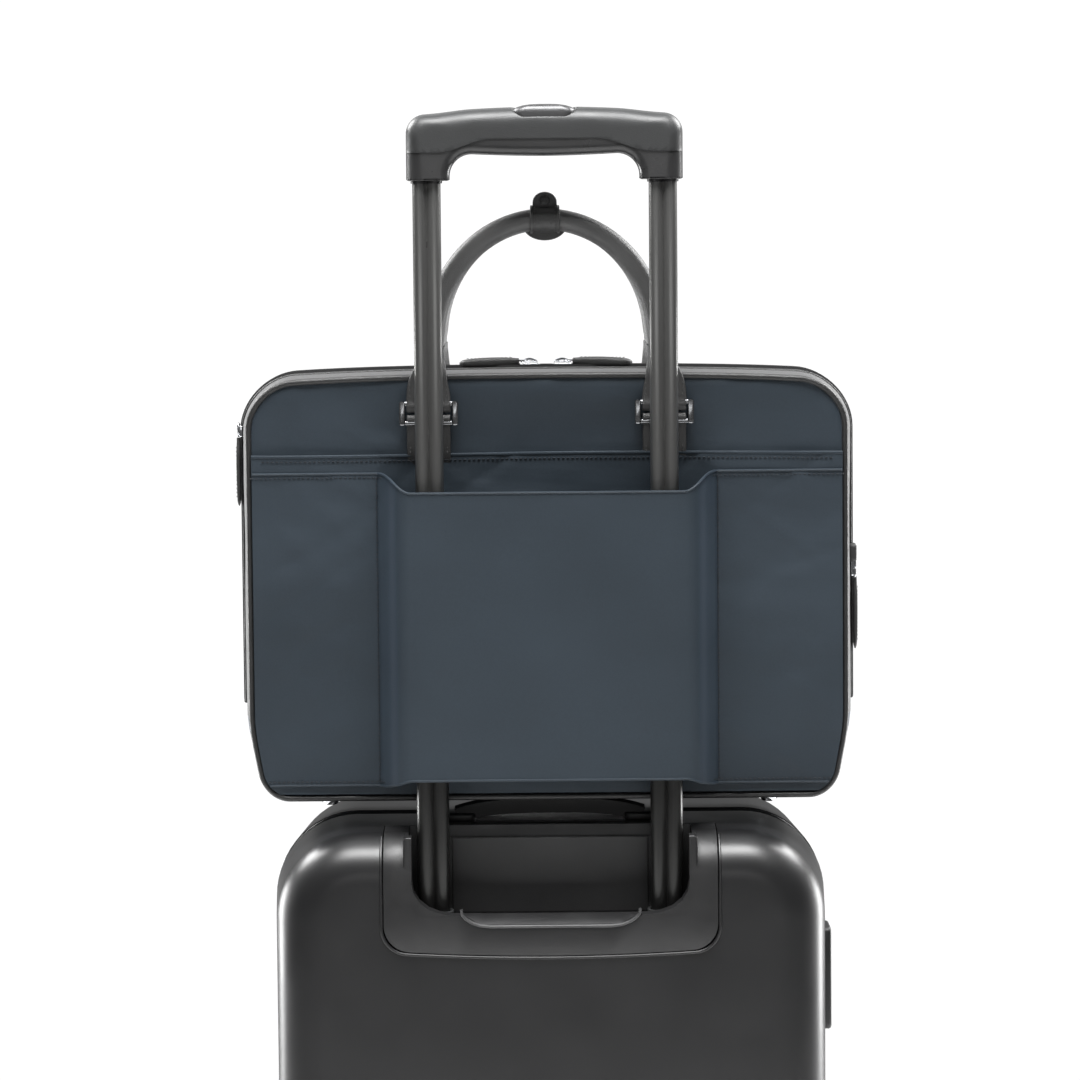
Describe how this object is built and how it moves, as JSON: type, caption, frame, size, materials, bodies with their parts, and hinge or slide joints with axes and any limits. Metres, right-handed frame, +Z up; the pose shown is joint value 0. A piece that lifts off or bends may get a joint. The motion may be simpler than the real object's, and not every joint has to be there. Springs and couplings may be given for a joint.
{
  "type": "rolling laptop case",
  "caption": "Nylon laptop case with rolled leather handles, its back sleeve slid over the telescopic handle of a wheeled hard case.",
  "frame": {"origin": "on the floor, at the middle of the footprint", "axes": "+Z up, +X to the right seen from the handle side, +Y from the handle side towards the front of the case"},
  "size_m": [0.4168, 0.232, 1.016],
  "materials": {
    "shell": "moulded polycarbonate, satin black",
    "housing": "fine-textured black plastic",
    "grip": "satin dark grey plastic",
    "tube": "dark anodised",
    "tyre": "matt black",
    "steel": "bright",
    "nylon": "navy woven nylon",
    "leather": "fine-grained black leather",
    "trim_metal": "dark nickel plated",
    "zip": "woven black tape"
  },
  "bodies": {
    "rear_case": {"rear_shell": "shell", "handle_housing": "housing", "outer_tube_left": "tube", "outer_tube_right": "tube", "tube_foot_bracket": "housing", "top_carry_handle": "housing", "lock_housing": "housing", "zip_tape": "zip", "caster_housing_rear_left": "housing", "caster_housing_rear_right": "housing"},
    "front_case": {"front_shell": "shell", "caster_housing_front_left": "housing", "caster_housing_front_right": "housing"},
    "middle_stage": {"middle_tube_left": "tube", "middle_tube_right": "tube"},
    "top_stage": {"inner_tube_left": "tube", "inner_tube_right": "tube", "grip_upper": "grip", "grip_lower": "grip"},
    "push_button": {"push_button": "grip"},
    "side_carry_handle": {"side_carry_handle": "housing"},
    "laptop_case": {"bag_body": "nylon", "back_pocket": "nylon", "trolley_sleeve": "nylon", "rear_tab_left": "leather", "rear_tab_right": "leather", "rear_ring_left": "trim_metal", "rear_ring_right": "trim_metal", "bag_foot_1": "trim_metal", "bag_foot_2": "trim_metal", "bag_foot_3": "trim_metal", "bag_foot_4": "trim_metal", "side_tab_left": "trim_metal", "side_tab_right": "trim_metal"},
    "laptop_case_front": {"bag_front_panel": "nylon", "front_tab_left": "leather", "front_tab_right": "leather", "front_ring_left": "trim_metal", "front_ring_right": "trim_metal"},
    "rear_handle": {"rear_handle": "leather", "handle_keeper": "leather"},
    "front_handle": {"front_handle": "leather"},
    "zip_slider_left": {"zip_slider_left": "trim_metal"},
    "zip_pull_left": {"zip_pull_left": "leather"},
    "side_pull_left": {"side_pull_left": "leather"},
    "zip_slider_right": {"zip_slider_right": "trim_metal"},
    "zip_pull_right": {"zip_pull_right": "leather"},
    "side_pull_right": {"side_pull_right": "leather"},
    "caster_rear_left": {"caster_fork_rear_left": "housing", "wheel_axle_rear_left": "steel"},
    "wheel_rear_left": {"wheel_rear_left": "tyre"},
    "caster_rear_right": {"caster_fork_rear_right": "housing", "wheel_axle_rear_right": "steel"},
    "wheel_rear_right": {"wheel_rear_right": "tyre"},
    "caster_front_left": {"caster_fork_front_left": "housing", "wheel_axle_front_left": "steel"},
    "wheel_front_left": {"wheel_front_left": "tyre"},
    "caster_front_right": {"caster_fork_front_right": "housing", "wheel_axle_front_right": "steel"},
    "wheel_front_right": {"wheel_front_right": "tyre"}
  },
  "joints": [
    {"name": "front_case_hinge", "type": "hinge", "parent": "rear_case", "child": "front_case", "pos_m": [-0.1868, 0, 0.294], "axis": [0, 0, 1], "range_deg": [0, 170]},
    {"name": "middle_stage_slide", "type": "slide", "parent": "rear_case", "child": "middle_stage", "axis": [0, 0, 1], "range_m": [-0.232, 0]},
    {"name": "top_stage_slide", "type": "slide", "parent": "middle_stage", "child": "top_stage", "axis": [0, 0, 1], "range_m": [-0.24, 0]},
    {"name": "button_press", "type": "slide", "parent": "top_stage", "child": "push_button", "axis": [0, 0, 1], "range_m": [-0.0025, 0], "stiffness_N_per_m": 800, "springref_m": 0.001},
    {"name": "side_handle_slide", "type": "slide", "parent": "rear_case", "child": "side_carry_handle", "axis": [1, 0, 0], "range_m": [0, 0.018], "stiffness_N_per_m": 300, "springref_m": -0.004},
    {"name": "laptop_case_lift", "type": "slide", "parent": "rear_case", "child": "laptop_case", "axis": [0, 0, 1], "range_m": [0, 0.47]},
    {"name": "laptop_case_front_tilt", "type": "hinge", "parent": "laptop_case", "child": "laptop_case_front", "pos_m": [0, 0.038, 0.5583], "axis": [-1, 0, 0], "range_deg": [0, 60]},
    {"name": "rear_handle_swing", "type": "hinge", "parent": "laptop_case", "child": "rear_handle", "pos_m": [0, -0.0655, 0.8535], "axis": [-1, 0, 0], "range_deg": [0, 78]},
    {"name": "front_handle_swing", "type": "hinge", "parent": "laptop_case_front", "child": "front_handle", "pos_m": [0, 0.0475, 0.8535], "axis": [-1, 0, 0], "range_deg": [0, 140]},
    {"name": "zip_slide_left", "type": "slide", "parent": "laptop_case", "child": "zip_slider_left", "axis": [-1, 0, 0], "range_m": [0, 0.1]},
    {"name": "zip_pull_left", "type": "hinge", "parent": "zip_slider_left", "child": "zip_pull_left", "pos_m": [-0.0183, -0.016, 0.849], "axis": [0, 1, 0], "range_deg": [0, 75]},
    {"name": "zip_slide_right", "type": "slide", "parent": "laptop_case", "child": "zip_slider_right", "axis": [1, 0, 0], "range_m": [0, 0.1]},
    {"name": "zip_pull_right", "type": "hinge", "parent": "zip_slider_right", "child": "zip_pull_right", "pos_m": [0.0183, -0.016, 0.849], "axis": [0, -1, 0], "range_deg": [0, 75]},
    {"name": "side_pull_left", "type": "hinge", "parent": "laptop_case", "child": "side_pull_left", "pos_m": [-0.2084, -0.032, 0.7957], "axis": [0, 1, 0], "range_deg": [0, 75]},
    {"name": "side_pull_right", "type": "hinge", "parent": "laptop_case", "child": "side_pull_right", "pos_m": [0.2084, -0.032, 0.6987], "axis": [0, -1, 0], "range_deg": [0, 75]},
    {"name": "caster_swivel_rear_left", "type": "hinge", "parent": "rear_case", "child": "caster_rear_left", "pos_m": [-0.142, -0.082, 0.042], "axis": [0, 0, 1], "continuous": true},
    {"name": "wheel_spin_rear_left", "type": "hinge", "parent": "caster_rear_left", "child": "wheel_rear_left", "pos_m": [-0.142, -0.094, 0.0195], "axis": [1, 0, 0], "continuous": true},
    {"name": "caster_swivel_rear_right", "type": "hinge", "parent": "rear_case", "child": "caster_rear_right", "pos_m": [0.142, -0.082, 0.042], "axis": [0, 0, 1], "continuous": true},
    {"name": "wheel_spin_rear_right", "type": "hinge", "parent": "caster_rear_right", "child": "wheel_rear_right", "pos_m": [0.142, -0.094, 0.0195], "axis": [1, 0, 0], "continuous": true},
    {"name": "caster_swivel_front_left", "type": "hinge", "parent": "front_case", "child": "caster_front_left", "pos_m": [-0.142, 0.082, 0.042], "axis": [0, 0, 1], "continuous": true},
    {"name": "wheel_spin_front_left", "type": "hinge", "parent": "caster_front_left", "child": "wheel_front_left", "pos_m": [-0.142, 0.07, 0.0195], "axis": [1, 0, 0], "continuous": true},
    {"name": "caster_swivel_front_right", "type": "hinge", "parent": "front_case", "child": "caster_front_right", "pos_m": [0.142, 0.082, 0.042], "axis": [0, 0, 1], "continuous": true},
    {"name": "wheel_spin_front_right", "type": "hinge", "parent": "caster_front_right", "child": "wheel_front_right", "pos_m": [0.142, 0.07, 0.0195], "axis": [1, 0, 0], "continuous": true}
  ]
}
